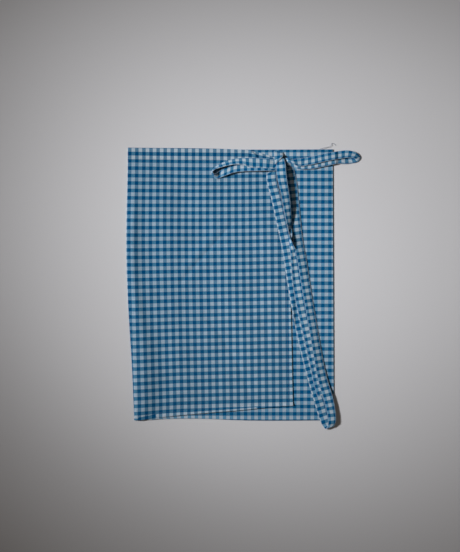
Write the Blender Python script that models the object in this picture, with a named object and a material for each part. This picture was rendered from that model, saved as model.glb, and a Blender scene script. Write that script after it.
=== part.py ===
"""Wrap skirt laid flat on a table, with its two ties knotted in a bow near the right side.

A back panel, an under front and an over front wrap into a flat tube. Each front turns under at its
own side fold and meets the back at a side seam. A waistband runs along the top of all three. Strap
ties make the bow: two loops, a knot, an outer tail that doubles back at its lower end and returns
to the knot, and an inner tail that comes off the knot and has a half twist.

Units are metres. The skirt lies front side up, +X is to the right across it, +Y is towards the
waist and +Z is up from the table. The origin is on the underside, at the middle of the skirt.
"""

import math

import bpy
import numpy as np

# Cloth walls and the clearance between pieces
WALL = 0.0010
GAP = 0.0003
SEAM_GAP = 0.0004
LAYER = WALL + GAP

# Heights of the layers' middles above the table
BACK_MIDDLE = WALL / 2
UNDER_MIDDLE = BACK_MIDDLE + LAYER

# Driving sizes of the laid skirt
BAND_DEPTH = 0.027
SEAM_FROM_FOLD = 0.020
STRAP_WIDTH = 0.022

# Outlines of the folds and free edges, each row a height y and the place x of the edge there
LEFT_FOLD = ((-0.302, -0.2125), (-0.173, -0.2184), (-0.057, -0.2256), (0.028, -0.2293), (0.303, -0.2264))
RIGHT_FOLD = ((-0.302, 0.2309), (0.299, 0.2287))
FRONT_EDGE = ((-0.269, 0.1394), (-0.040, 0.1343), (0.275, 0.1250))
HIDDEN_EDGE = ((-0.300, -0.172), (-0.100, -0.176), (0.000, -0.198), (0.299, -0.203))

# Outlines of the top and the hems, each row a place x and the height y of the edge there
TOP_LINE = ((-0.2264, 0.3020), (0.0400, 0.2980), (0.2287, 0.2986))
OVER_TOP = (
    (-0.2264, 0.3024),
    (0.0200, 0.2984),
    (0.0400, 0.2975),
    (0.0620, 0.2930),
    (0.0890, 0.2864),
    (0.1250, 0.2745),
)
HEM = ((-0.2125, -0.3010), (-0.1400, -0.2985), (-0.0670, -0.2990), (0.0000, -0.3015), (0.2309, -0.3020))
OVER_HEM = (
    (-0.2125, -0.3020),
    (-0.1780, -0.2965),
    (-0.1330, -0.2900),
    (-0.0670, -0.2830),
    (0.0000, -0.2795),
    (0.0660, -0.2730),
    (0.1394, -0.2686),
)

# The over front climbs onto the hidden edge of the under front over this width, and is level from here on
CLIMB_WIDTH = 0.016
CLIMB_END = 0.005

# Where a strap leaves a cloth edge it comes down to the layer below between these distances
STEP_START = 0.0050
STEP_END = 0.0110

# Soft swells of the over front: a crest from one point to the other, its height and its half width
SWELLS = (
    # x0, y0, x1, y1, height, spread
    (-0.150, 0.215, -0.135, -0.040, 0.0016, 0.030),
    (-0.125, -0.110, -0.105, -0.215, 0.0018, 0.028),
    (-0.055, 0.150, 0.030, 0.060, 0.0014, 0.032),
    (-0.010, -0.020, 0.055, -0.170, 0.0015, 0.028),
    (0.085, 0.110, 0.100, -0.200, 0.0010, 0.022),
)

# Straps, a row for each section: its middle x and y, the lift of its lower edge above the cloth, the
# plan direction of its width, how far that width leans up from flat, both in degrees, and the share
# of the full width that the soft strap keeps there
LEFT_LOOP = (
    # x, y, lift, turn, lean, share
    (0.1120, 0.2690, 0.0052, -90, 0, 0.91),
    (0.0950, 0.2680, 0.0046, -90, 0, 1.00),
    (0.0710, 0.2680, 0.0032, -90, 0, 1.00),
    (0.0440, 0.2686, 0.0018, -90, 2, 1.00),
    (0.0220, 0.2690, 0.0016, -90, 18, 1.00),
    (0.0020, 0.2675, 0.0008, -90, 50, 1.00),
    (-0.0170, 0.2620, 0.0000, -90, 68, 0.95),
    (-0.0310, 0.2550, 0.0000, -90, 75, 0.91),
    (-0.0385, 0.2470, 0.0000, -90, 76, 0.91),
    (-0.0345, 0.2395, 0.0000, -90, 66, 0.91),
    (-0.0240, 0.2400, 0.0000, -90, 48, 0.95),
    (-0.0060, 0.2480, 0.0000, -90, 24, 1.00),
    (0.0150, 0.2565, 0.0000, -90, 7, 1.00),
    (0.0440, 0.2600, 0.0000, -90, 0, 1.00),
    (0.0710, 0.2605, 0.0006, -90, 0, 1.00),
    (0.0950, 0.2620, 0.0026, -90, 0, 1.00),
    (0.1120, 0.2640, 0.0030, -90, 0, 0.91),
)
RIGHT_LOOP = (
    # x, y, lift, turn, lean, share
    (0.1170, 0.2690, 0.0052, -90, 0, 0.91),
    (0.1340, 0.2710, 0.0046, -90, 0, 1.00),
    (0.1554, 0.2720, 0.0032, -90, 6, 1.00),
    (0.1776, 0.2742, 0.0020, -90, 20, 1.00),
    (0.2109, 0.2802, 0.0015, -90, 34, 1.00),
    (0.2442, 0.2864, 0.0012, -90, 38, 1.00),
    (0.2664, 0.2886, 0.0008, -90, 44, 1.00),
    (0.2815, 0.2855, 0.0003, -90, 52, 0.95),
    (0.2872, 0.2790, 0.0000, -90, 54, 0.91),
    (0.2780, 0.2750, 0.0000, -90, 36, 0.95),
    (0.2600, 0.2765, 0.0000, -90, 16, 1.00),
    (0.2442, 0.2780, 0.0000, -90, 6, 1.00),
    (0.2109, 0.2717, 0.0000, -90, 0, 1.00),
    (0.1776, 0.2655, 0.0004, -90, 0, 1.00),
    (0.1520, 0.2635, 0.0016, -90, 0, 1.00),
    (0.1340, 0.2640, 0.0026, -90, 0, 1.00),
    (0.1170, 0.2645, 0.0030, -90, 0, 0.91),
)
OUTER_TAIL = (
    # x, y, lift, turn, lean, share
    (0.1040, 0.2550, 0.0000, 20, 0, 0.91),
    (0.0960, 0.2430, 0.0000, 8, 0, 1.00),
    (0.0960, 0.2270, 0.0000, 6, 0, 1.00),
    (0.1021, 0.1909, 0.0000, 11, 0, 1.00),
    (0.1132, 0.1443, 0.0000, 13, 0, 1.00),
    (0.1288, 0.0733, 0.0000, 10, 0, 1.00),
    (0.1390, 0.0067, 0.0000, 9, 0, 1.00),
    (0.1510, -0.0644, 0.0000, 10, 0, 1.00),
    (0.1656, -0.1376, 0.0000, 13, 0, 1.00),
    (0.1834, -0.2109, 0.0000, 15, 0, 1.00),
    (0.1976, -0.2597, 0.0000, 17, 0, 1.00),
    (0.2090, -0.2960, 0.0004, 20, 0, 1.00),
    (0.2165, -0.3135, 0.0042, 20, 0, 0.91),
    (0.2205, -0.3180, 0.0075, 20, 0, 0.82),
    (0.2240, -0.3125, 0.0108, 15, 0, 0.77),
    (0.2255, -0.2960, 0.0115, 5, 0, 0.82),
    (0.2225, -0.2760, 0.0104, 10, 0, 0.91),
    (0.2169, -0.2509, 0.0080, 14, 0, 0.95),
    (0.2069, -0.2176, 0.0052, 14, -8, 0.95),
    (0.1974, -0.1732, 0.0024, 11, -14, 0.91),
    (0.1898, -0.1288, 0.0014, 9, -15, 0.86),
    (0.1827, -0.0844, 0.0008, 9, -15, 0.86),
    (0.1747, -0.0400, 0.0006, 9, -14, 0.86),
    (0.1676, 0.0044, 0.0006, 9, -13, 0.91),
    (0.1603, 0.0488, 0.0006, 10, -13, 0.95),
    (0.1510, 0.0955, 0.0004, 10, -12, 1.00),
    (0.1454, 0.1421, 0.0000, 6, -6, 1.00),
    (0.1412, 0.1865, 0.0000, 6, 0, 1.00),
    (0.1359, 0.2309, 0.0000, 7, 0, 1.00),
    (0.1310, 0.2550, 0.0000, 11, 0, 0.91),
)
INNER_TAIL = (
    # x, y, lift, turn, lean, share
    (0.0940, 0.2900, 0.0000, 42, 0, 0.73),
    (0.1000, 0.2850, 0.0060, 40, 0, 0.86),
    (0.1060, 0.2770, 0.0110, 34, 0, 0.95),
    (0.1115, 0.2670, 0.0122, 20, 2, 1.00),
    (0.1145, 0.2540, 0.0095, 6, 12, 1.00),
    (0.1155, 0.2310, 0.0050, 2, 28, 1.00),
    (0.1200, 0.1976, 0.0020, 8, 24, 0.95),
    (0.1270, 0.1576, 0.0014, 10, 22, 0.86),
    (0.1315, 0.1340, 0.0014, 8, 36, 0.77),
    (0.1325, 0.1190, 0.0014, 4, 62, 0.64),
    (0.1320, 0.1030, 0.0014, 4, 92, 0.55),
    (0.1350, 0.0890, 0.0014, 8, 130, 0.64),
    (0.1400, 0.0720, 0.0014, 10, 164, 0.82),
    (0.1445, 0.0470, 0.0014, 8, 180, 0.95),
    (0.1490, 0.0089, 0.0014, 8, 180, 1.00),
    (0.1545, -0.0266, 0.0014, 9, 180, 1.00),
    (0.1618, -0.0622, 0.0014, 11, 180, 1.00),
    (0.1700, -0.0977, 0.0014, 12, 180, 1.00),
    (0.1789, -0.1376, 0.0014, 13, 180, 1.00),
    (0.1889, -0.1820, 0.0014, 13, 180, 1.00),
    (0.1976, -0.2242, 0.0014, 13, 180, 1.00),
    (0.2042, -0.2464, 0.0014, 16, 180, 1.00),
)

# Rows where the knot ends, and where the outer tail's doubled-back end starts and ends
KNOT_END = 4
DOUBLING_START = 11
DOUBLING_END = 16

# Spacing of the meshes' points
STRAP_ACROSS = 4
STRAP_STEP = 0.018
SPAN_STEPS = 1
FOLD_STEPS = 6
FOLD_CROWDING = 1.5

# Finish of each cloth: colour and roughness
CLOTH_COLOUR = (0.16, 0.33, 0.50, 1.0)
BAND_COLOUR = (0.24, 0.42, 0.58, 1.0)
TIE_COLOUR = (0.20, 0.40, 0.58, 1.0)
CLOTH_ROUGHNESS = 0.9


def clear_scene():
    for thing in list(bpy.data.objects):
        bpy.data.objects.remove(thing, do_unlink=True)


def cloth_material(name, colour):
    """Plain matte cloth of one colour."""
    material = bpy.data.materials.new(name)
    material.use_nodes = True
    shader = material.node_tree.nodes["Principled BSDF"]
    shader.inputs["Base Color"].default_value = colour
    shader.inputs["Roughness"].default_value = CLOTH_ROUGHNESS
    shader.inputs["Metallic"].default_value = 0.0
    return material


def smooth_through(at, values, where):
    """Smooth curve through the rows: a cubic on each span, with each row's slope from its neighbours."""
    at = np.asarray(at, float)
    values = np.asarray(values, float)
    slope = np.gradient(values, at, axis=0)
    where = np.clip(where, at[0], at[-1])
    span = np.clip(np.searchsorted(at, where, side="right") - 1, 0, len(at) - 2)
    length = at[span + 1] - at[span]
    part = (where - at[span]) / length
    if values.ndim > 1:
        length = length[:, None]
        part = part[:, None]
    near = 2 * part**3 - 3 * part**2 + 1
    near_slope = part**3 - 2 * part**2 + part
    far_slope = part**3 - part**2
    start = near * values[span] + near_slope * length * slope[span]
    return start + (1 - near) * values[span + 1] + far_slope * length * slope[span + 1]


def edge(rows, where):
    """Place of an outline at the given positions along it."""
    at, place = zip(*rows)
    return smooth_through(at, place, np.asarray(where, float))


def ease(value):
    """Soft step from 0 to 1 while the value goes from 0 to 1."""
    value = np.clip(value, 0.0, 1.0)
    return value * value * (3.0 - 2.0 * value)


def swell(x, y):
    """Height of the over front's soft swells: a bell round each crest line."""
    total = np.zeros_like(x)
    for x0, y0, x1, y1, height, spread in SWELLS:
        run = np.array([x1 - x0, y1 - y0])
        along = np.clip(((x - x0) * run[0] + (y - y0) * run[1]) / (run @ run), 0.0, 1.0)
        away = np.hypot(x - x0 - along * run[0], y - y0 - along * run[1])
        total += height * np.exp(-((away / spread) ** 2))
    return total


def over_height(x, y):
    """Middle of the over front: low beside the left fold, then up over the under front's hidden edge."""
    climb = ease((x - edge(HIDDEN_EDGE, y) + CLIMB_WIDTH) / (CLIMB_WIDTH - CLIMB_END))
    clear_of_fold = ease((x - edge(LEFT_FOLD, y)) / CLIMB_WIDTH - 0.5)
    return UNDER_MIDDLE + LAYER * climb + swell(x, y) * climb * clear_of_fold


def under_height(x, y):
    """Middle of the under front, which is level."""
    return np.full_like(x, UNDER_MIDDLE)


def beyond(distance):
    """1 on the cloth and just past its edge, down to 0 further out; distance is measured outwards."""
    return 1.0 - ease((distance - STEP_START) / (STEP_END - STEP_START))


def cloth_below(x, y):
    """Top of whatever cloth lies under a strap: the over front, else the under front, else the table."""
    on_under = beyond(x - edge(RIGHT_FOLD, y)) * beyond(edge(HEM, x) - y) * beyond(y - edge(TOP_LINE, x))
    on_over = beyond(x - edge(FRONT_EDGE, y)) * beyond(edge(OVER_HEM, x) - y) * beyond(y - edge(OVER_TOP, x))
    under_top = (UNDER_MIDDLE + WALL / 2) * on_under
    return under_top + (over_height(x, y) + WALL / 2 - under_top) * on_over


def directions(points, axis):
    """Unit direction of a grid along one axis at every point, halfway between the runs on its two sides."""
    runs = np.diff(points, axis=axis)
    runs /= np.linalg.norm(runs, axis=2, keepdims=True)
    first = np.concatenate([runs.take([0], axis), runs], axis)
    last = np.concatenate([runs, runs.take([-1], axis)], axis)
    middle = first + last
    return middle / np.linalg.norm(middle, axis=2, keepdims=True)


def wall(name, middle, material):
    """Closed cloth wall round a grid of middle points: both faces half a wall away, and a rim all round."""
    rows, columns = middle.shape[:2]
    normal = np.cross(directions(middle, 1), directions(middle, 0))
    normal /= np.linalg.norm(normal, axis=2, keepdims=True)
    outer = (middle + normal * WALL / 2).reshape(-1, 3)
    inner = (middle - normal * WALL / 2).reshape(-1, 3)
    index = np.arange(rows * columns).reshape(rows, columns)
    quads = np.stack([index[:-1, :-1], index[:-1, 1:], index[1:, 1:], index[1:, :-1]], -1).reshape(-1, 4)
    border = np.concatenate([index[0, :-1], index[:-1, -1], index[-1, :0:-1], index[:0:-1, 0]])
    after = np.roll(border, -1)
    back = rows * columns
    rim = np.stack([after, border, border + back, after + back], -1)
    faces = np.concatenate([quads, quads[:, ::-1] + back, rim])
    mesh = bpy.data.meshes.new(name)
    mesh.from_pydata(np.concatenate([outer, inner]).tolist(), [], faces.tolist())
    mesh.materials.append(material)
    mesh.shade_smooth()
    mesh.set_sharp_from_angle(angle=math.radians(50))
    thing = bpy.data.objects.new(name, mesh)
    bpy.context.collection.objects.link(thing)
    return thing


def turned_panel(name, side, fold, free_edge, top, bottom, height, counts, material):
    """Front panel or band: from its free edge to its side fold, round the fold and back to the side seam.

    side is -1 where the fold is on the left and 1 where it is on the right. The run round the fold is
    a half circle between the panel's own height and the back panel's.
    """
    columns, rows = counts
    radius = (UNDER_MIDDLE - BACK_MIDDLE) / 2
    reach = radius + WALL / 2
    upper = np.linspace(1.0, 0.0, columns) ** FOLD_CROWDING
    arc = np.radians(np.linspace(90, -90, FOLD_STEPS + 1)[1:-1])
    lower = np.linspace(0.0, 1.0, 3)
    down = np.linspace(0.0, 1.0, rows)[:, None]

    fold_x = fold[-1][1]
    guide = np.concatenate([fold_x + (edge(free_edge, 0.0) - fold_x) * upper, np.full(len(arc) + 3, fold_x)])
    y = top(guide) + (bottom(guide) - top(guide)) * down
    turn_x = edge(fold, y) - side * reach

    split = len(upper)
    low = split + len(arc)
    x = turn_x.copy()
    x[:, :split] += (edge(free_edge, y[:, :split]) - turn_x[:, :split]) * upper
    x[:, split:low] += side * radius * np.cos(arc)
    x[:, low:] -= side * (SEAM_FROM_FOLD - reach) * lower

    z = np.full_like(x, BACK_MIDDLE)
    z[:, :split] = height(x[:, :split], y[:, :split])
    z[:, split:low] = BACK_MIDDLE + radius + radius * np.sin(arc)
    return wall(name, np.stack([x, y, z], -1), material)


def flat_panel(name, top, bottom, counts, material):
    """Back panel or band: level on the table between the two side seams."""
    columns, rows = counts
    across = np.linspace(0.0, 1.0, columns)
    down = np.linspace(0.0, 1.0, rows)[:, None]
    inset = SEAM_FROM_FOLD + SEAM_GAP
    guide = LEFT_FOLD[-1][1] + inset + (RIGHT_FOLD[-1][1] - LEFT_FOLD[-1][1] - 2 * inset) * across
    y = top(guide) + (bottom(guide) - top(guide)) * down
    left = edge(LEFT_FOLD, y) + inset
    right = edge(RIGHT_FOLD, y) - inset
    x = left + (right - left) * across
    return wall(name, np.stack([x, y, np.full_like(x, BACK_MIDDLE)], -1), material)


def line(rows, lower_by=0.0):
    """Height of a top or hem outline as a function of x, lowered by a fixed amount."""
    return lambda x: edge(rows, x) - lower_by


def strap(name, table, material, first=0, last=-1):
    """Stretch of a strap between two rows of its table, half a gap short of each.

    Each section is level or leans, and its lower edge clears the cloth below.
    """
    rows = np.array(table, float)
    path = np.concatenate([[0.0], np.cumsum(np.linalg.norm(np.diff(rows[:, :3], axis=0), axis=1))])
    ends = np.concatenate([[0.0], np.cumsum(np.ceil(np.diff(path) / STRAP_STEP) + SPAN_STEPS)])
    along = np.interp(np.arange(ends[first], ends[last] + 1), ends, path)
    along[0] += GAP / 2
    along[-1] -= GAP / 2
    x, y, lift, turn, lean, share = smooth_through(path, rows, along).T[:, :, None]
    width = STRAP_WIDTH * share
    turn = np.radians(turn)
    lean = np.radians(lean)
    across = np.linspace(-0.5, 0.5, STRAP_ACROSS + 1) * width
    px = x + across * np.cos(lean) * np.cos(turn)
    py = y + across * np.cos(lean) * np.sin(turn)
    rise = across * np.sin(lean) + np.abs(np.sin(lean)) * width / 2
    pz = cloth_below(px, py) + GAP + WALL / 2 + np.maximum(lift, 0.0) + rise
    return wall(name, np.stack([px, py, pz], -1), material)


def panels(cloth, band):
    """Back, under front and over front, each with its stretch of the waistband above it."""
    under_seam = line(TOP_LINE, BAND_DEPTH)
    over_seam = line(OVER_TOP, BAND_DEPTH)
    flat_panel("back_panel", line(TOP_LINE, BAND_DEPTH + GAP), line(HEM), (12, 14), cloth)
    flat_panel("waistband_back", line(TOP_LINE), under_seam, (12, 2), band)
    turned_panel(
        "under_front", 1, RIGHT_FOLD, HIDDEN_EDGE,
        line(TOP_LINE, BAND_DEPTH + GAP), line(HEM), under_height, (14, 6), cloth,
    )
    turned_panel(
        "waistband_under", 1, RIGHT_FOLD, HIDDEN_EDGE,
        line(TOP_LINE), under_seam, under_height, (14, 2), band,
    )
    turned_panel(
        "over_front", -1, LEFT_FOLD, FRONT_EDGE,
        line(OVER_TOP, BAND_DEPTH + GAP), line(OVER_HEM), over_height, (30, 32), cloth,
    )
    turned_panel(
        "waistband_over", -1, LEFT_FOLD, FRONT_EDGE,
        line(OVER_TOP), over_seam, over_height, (30, 3), band,
    )


def ties(tie):
    """The bow's two loops, its knot, and the tails in the stretches that show."""
    strap("tie_loop_left", LEFT_LOOP, tie)
    strap("tie_loop_right", RIGHT_LOOP, tie)
    strap("tie_knot", INNER_TAIL, tie, last=KNOT_END)
    strap("tie_tail_inner", INNER_TAIL, tie, first=KNOT_END)
    strap("tie_tail_outer", OUTER_TAIL, tie, last=DOUBLING_START)
    strap("tie_tail_doubling", OUTER_TAIL, tie, first=DOUBLING_START, last=DOUBLING_END)
    strap("tie_tail_return", OUTER_TAIL, tie, first=DOUBLING_END)


clear_scene()
panels(cloth_material("cloth", CLOTH_COLOUR), cloth_material("waistband", BAND_COLOUR))
ties(cloth_material("tie", TIE_COLOUR))
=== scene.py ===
# %% [markdown]
# # A cotton wrap skirt, laid flat
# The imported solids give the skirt's size and place: a back, two fronts that wrap over each other, a
# waistband and two strap ties in a bow. This lesson makes each of them again as thin cloth, with the
# creases, hems, stitches and woven check that the solids leave out.

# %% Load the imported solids
import math

import bpy
import numpy as np
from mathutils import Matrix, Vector


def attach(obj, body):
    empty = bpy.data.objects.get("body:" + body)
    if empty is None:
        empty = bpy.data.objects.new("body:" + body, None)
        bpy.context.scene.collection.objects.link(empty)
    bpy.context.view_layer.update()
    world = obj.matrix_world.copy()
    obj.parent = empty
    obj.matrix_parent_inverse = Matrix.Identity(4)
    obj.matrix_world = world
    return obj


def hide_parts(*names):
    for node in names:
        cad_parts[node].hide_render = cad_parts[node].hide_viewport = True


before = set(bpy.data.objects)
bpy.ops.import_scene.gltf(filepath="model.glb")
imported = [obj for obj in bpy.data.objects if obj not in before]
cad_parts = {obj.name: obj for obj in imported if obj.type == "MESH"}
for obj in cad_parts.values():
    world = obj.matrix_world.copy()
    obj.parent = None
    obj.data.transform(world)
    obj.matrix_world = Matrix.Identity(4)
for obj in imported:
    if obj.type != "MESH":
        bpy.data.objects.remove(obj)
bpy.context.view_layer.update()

# %% [markdown]
# ## The camera
# A garment on a table is pictured from straight above, from far enough away that the bow doesn't
# lean outwards. The lens then follows from how much table the picture's long side takes in.

# %% Set the camera
CAMERA_HEIGHT = 2.4
PICTURE_LONG_SIDE = 1.2254
PICTURE_MIDDLE_Y = 0.0178

camera = bpy.data.objects.new("camera", bpy.data.cameras.new("camera"))
camera.data.lens = camera.data.sensor_width * CAMERA_HEIGHT / PICTURE_LONG_SIDE
camera.data.clip_end = 20.0
camera.location = (0.0, PICTURE_MIDDLE_Y, CAMERA_HEIGHT)
bpy.context.collection.objects.link(camera)
bpy.context.scene.camera = camera
bpy.context.scene.view_settings.view_transform = "Standard"
print("Lens, mm:", round(camera.data.lens, 1))

# %% [markdown]
# ## Outlines
# Cloth edges are never ruler-straight, so every fold, hem and free edge is a short row of places with
# a smooth curve through them. They are the rows that shape the solids, so that each sheet lies where
# its solid does. Only the over front's hem hangs up to 3 mm lower here. All sizes are in metres.

# %% Sizes of the layers and of the laid skirt
WALL = 0.0010
GAP = 0.0003
LAYER = WALL + GAP
BACK_MIDDLE = WALL / 2
UNDER_MIDDLE = BACK_MIDDLE + LAYER
BAND_DEPTH = 0.027
SEAM_FROM_FOLD = 0.020
SEAM_GAP = 0.0004
STRAP_WIDTH = 0.022

LEFT_FOLD = ((-0.302, -0.2125), (-0.173, -0.2184), (-0.057, -0.2256), (0.028, -0.2293), (0.303, -0.2264))
RIGHT_FOLD = ((-0.302, 0.2309), (0.299, 0.2287))
FRONT_EDGE = ((-0.269, 0.1394), (-0.040, 0.1343), (0.275, 0.1250))
HIDDEN_EDGE = ((-0.300, -0.172), (-0.100, -0.176), (0.000, -0.198), (0.299, -0.203))

TOP_LINE = ((-0.2264, 0.3020), (0.0400, 0.2980), (0.2287, 0.2986))
OVER_TOP = (
    (-0.2264, 0.3024),
    (0.0200, 0.2984),
    (0.0400, 0.2975),
    (0.0620, 0.2930),
    (0.0890, 0.2864),
    (0.1250, 0.2745),
)
HEM = ((-0.2125, -0.3010), (-0.1400, -0.2985), (-0.0670, -0.2990), (0.0000, -0.3015), (0.2309, -0.3020))
OVER_HEM = (
    (-0.2125, -0.3020),
    (-0.1780, -0.2965),
    (-0.1330, -0.2918),
    (-0.0670, -0.2858),
    (0.0000, -0.2808),
    (0.0660, -0.2745),
    (0.1394, -0.2686),
)
STEP_START = 0.0050
STEP_END = 0.0110


# %% Curves through rows of places
def smooth_through(at, values, where):
    """Smooth curve through the rows: a cubic on each span, with each row's slope from its neighbours."""
    at = np.asarray(at, float)
    values = np.asarray(values, float)
    slope = np.gradient(values, at, axis=0)
    where = np.clip(where, at[0], at[-1])
    span = np.clip(np.searchsorted(at, where, side="right") - 1, 0, len(at) - 2)
    length = at[span + 1] - at[span]
    part = (where - at[span]) / length
    if values.ndim > 1:
        length = length[:, None]
        part = part[:, None]
    near = 2 * part**3 - 3 * part**2 + 1
    near_slope = part**3 - 2 * part**2 + part
    far_slope = part**3 - part**2
    start = near * values[span] + near_slope * length * slope[span]
    return start + (1 - near) * values[span + 1] + far_slope * length * slope[span + 1]


def edge(rows, where):
    """Place of an outline at the given positions along it."""
    at, place = zip(*rows)
    return smooth_through(at, place, np.asarray(where, float))


def distance_along(path):
    """Distance from the first point of a path to each of its points."""
    return np.concatenate([[0.0], np.cumsum(np.linalg.norm(np.diff(path, axis=0), axis=1))])


def ease(value):
    """Soft step from 0 to 1 while the value goes from 0 to 1: 3 value^2 - 2 value^3."""
    value = np.clip(value, 0.0, 1.0)
    return value * value * (3.0 - 2.0 * value)


print("Hip, mm:", np.round(1000 * (edge(RIGHT_FOLD, 0.0) - edge(LEFT_FOLD, 0.0)), 1))

# %% [markdown]
# ## Creases and swells
# Cloth that was folded and smoothed by hand keeps shallow troughs where it was pressed, and rises a
# little between them. Sculpting or a cloth simulation could make these. Here each is a line with a
# bell-shaped section, placed one by one, because then it lies exactly where the real skirt has it,
# and the ties can rest on the same height.

# %% Lines of the creases and swells
SWELLS = (
    # x0, y0, x1, y1, height, spread
    (-0.150, 0.215, -0.135, -0.040, 0.0016, 0.030),
    (-0.125, -0.110, -0.105, -0.215, 0.0018, 0.028),
    (-0.055, 0.150, 0.030, 0.060, 0.0014, 0.032),
    (-0.010, -0.020, 0.055, -0.170, 0.0015, 0.028),
    (0.085, 0.110, 0.100, -0.200, 0.0010, 0.022),
)
CREASES = (
    # x0, y0, x1, y1, height, spread
    (0.002, 0.131, -0.109, 0.004, -0.0009, 0.0045),
    (-0.033, 0.115, -0.100, 0.036, 0.0006, 0.008),
    (-0.055, -0.069, -0.018, -0.118, -0.0008, 0.005),
    (-0.018, -0.118, 0.018, -0.180, -0.0008, 0.005),
    (0.018, -0.180, 0.047, -0.253, -0.0007, 0.005),
    (0.071, -0.080, 0.087, -0.113, -0.0007, 0.007),
    (0.098, -0.220, 0.100, -0.228, -0.0006, 0.010),
    (-0.031, -0.220, -0.030, -0.228, -0.0006, 0.010),
    (-0.102, -0.252, -0.104, -0.264, -0.0006, 0.009),
    (-0.055, 0.134, -0.056, 0.142, -0.0006, 0.009),
    (0.007, 0.200, 0.008, 0.208, -0.0005, 0.010),
    (-0.111, 0.186, -0.071, 0.186, -0.0007, 0.006),
    (-0.166, -0.013, -0.133, -0.058, -0.0008, 0.006),
    (0.120, 0.010, 0.121, 0.030, 0.0005, 0.012),
    (0.0455, 0.2935, 0.0590, 0.2838, 0.0022, 0.0024),
    (0.0533, 0.2930, 0.0650, 0.2815, -0.0012, 0.0024),
)
LEFT_RIDGE = (
    # y, x of the crest, height, spread
    (-0.3000, -0.1950, 0.0020, 0.020),
    (-0.2460, -0.1910, 0.0048, 0.026),
    (-0.2020, -0.1895, 0.0052, 0.028),
    (-0.1465, -0.1930, 0.0050, 0.026),
    (-0.0910, -0.2010, 0.0040, 0.019),
    (-0.0360, -0.2090, 0.0032, 0.012),
    (0.0200, -0.2150, 0.0034, 0.012),
    (0.1100, -0.2155, 0.0036, 0.012),
    (0.1900, -0.2140, 0.0020, 0.012),
    (0.2500, -0.2130, 0.0003, 0.012),
)
WAVES = (
    # waves per metre along x and along y, start of the wave, height
    (9.0, 3.0, 0.3, 0.00022),
    (-6.0, 11.0, 1.9, 0.00020),
    (14.0, -8.0, 4.1, 0.00013),
    (3.0, 17.0, 2.7, 0.00011),
)
AIR = 0.0007
LOWEST_DIP = 0.00045
DIP_SOFTNESS = 0.0002
FOLD_ROUND = 0.0055
CALM_EDGE = 0.030
UNDER_TAILS = 0.085
UNDER_TAILS_STEP = 0.020
UNDER_AIR = 0.00012
UNDER_WAVES = 1 / 3
EDGE_LIFT = 0.0009
EDGE_LIFT_TOP = -0.030
EDGE_LIFT_STEP = 0.030
HEM_LIFT = 0.0030
HEM_LIFT_START = -0.190
HEM_LIFT_STEP = 0.060
LIFT_SPREAD = 0.0060


def bells(rows, x, y):
    """Sum of rows: each a height times exp(-(distance to its line / spread)^2)."""
    total = np.zeros_like(x)
    for x0, y0, x1, y1, height, spread in rows:
        run = np.array([x1 - x0, y1 - y0])
        along = np.clip(((x - x0) * run[0] + (y - y0) * run[1]) / (run @ run), 0.0, 1.0)
        away = np.hypot(x - x0 - along * run[0], y - y0 - along * run[1])
        total += height * np.exp(-((away / spread) ** 2))
    return total


def left_ridge(x, y):
    """Long soft ridge beside the left fold: a height times exp(-((x - crest) / spread)^2), all from y."""
    at, crest, height, spread = zip(*LEFT_RIDGE)
    away = (x - smooth_through(at, crest, y)) / smooth_through(at, spread, y)
    return smooth_through(at, height, y) * np.exp(-(away**2))


def waves(x, y):
    """Sum of long low waves over the plan: a height times the sine of x and y along the wave."""
    total = np.zeros_like(x)
    for along_x, along_y, start, height in WAVES:
        total += height * np.sin(2 * math.pi * (along_x * x + along_y * y) + start)
    return total


print("Lines of creases and swells:", len(CREASES) + len(SWELLS))


# %% Heights of the two fronts and of what lies below a strap
def over_relief(x, y):
    """Rise of the over front above its layer: air, swells, creases and waves, with its dips held soft.

    The dip limit is a smooth maximum: half of (d + sqrt(d^2 + softness^2)) with d above the lowest dip.
    """
    inward = np.minimum.reduce([
        x - edge(LEFT_FOLD, y),
        edge(FRONT_EDGE, y) - x,
        edge(OVER_TOP, x) - BAND_DEPTH / 2 - y,
        y - edge(OVER_HEM, x),
    ])
    inside = ease(inward / CALM_EDGE)
    quiet = 1.0 - ease((x - UNDER_TAILS) / UNDER_TAILS_STEP)
    free = AIR * inside + bells(SWELLS, x, y) + (bells(CREASES, x, y) + waves(x, y) * inside) * quiet
    above = free + LOWEST_DIP
    return 0.5 * (above + np.sqrt(above**2 + DIP_SOFTNESS**2)) - LOWEST_DIP


def edge_lift(x, y):
    """Curl of the free edge and hem, where no tie holds them: height times exp(-(distance / spread)^2)."""
    from_edge = np.maximum(edge(FRONT_EDGE, y) - x, 0.0)
    from_hem = np.maximum(y - edge(OVER_HEM, x), 0.0)
    free_edge = EDGE_LIFT * ease((EDGE_LIFT_TOP - y) / EDGE_LIFT_STEP)
    free_hem = HEM_LIFT * ease((x - HEM_LIFT_START) / HEM_LIFT_STEP)
    free_edge = free_edge * np.exp(-((from_edge / LIFT_SPREAD) ** 2))
    return np.maximum(free_edge, free_hem * np.exp(-((from_hem / LIFT_SPREAD) ** 2)))


def over_height(x, y):
    """Middle of the over front: a layer above the under front, with its relief clear of the fold."""
    from_fold = x - edge(LEFT_FOLD, y)
    clear_of_fold = ease(from_fold / FOLD_ROUND)
    return UNDER_MIDDLE + LAYER + (over_relief(x, y) + left_ridge(x, y) + edge_lift(x, y)) * clear_of_fold


def under_height(x, y):
    """Middle of the under front: almost level, with the same long waves at a third of their height."""
    inward = np.minimum.reduce([edge(RIGHT_FOLD, y) - x, edge(TOP_LINE, x) - y, y - edge(HEM, x)])
    return UNDER_MIDDLE + (UNDER_AIR + waves(x, y) * UNDER_WAVES) * ease(inward / CALM_EDGE)


def beyond(distance):
    """1 on the cloth and just past its edge, down to 0 further out; distance is measured outwards."""
    return 1.0 - ease((distance - STEP_START) / (STEP_END - STEP_START))


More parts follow.
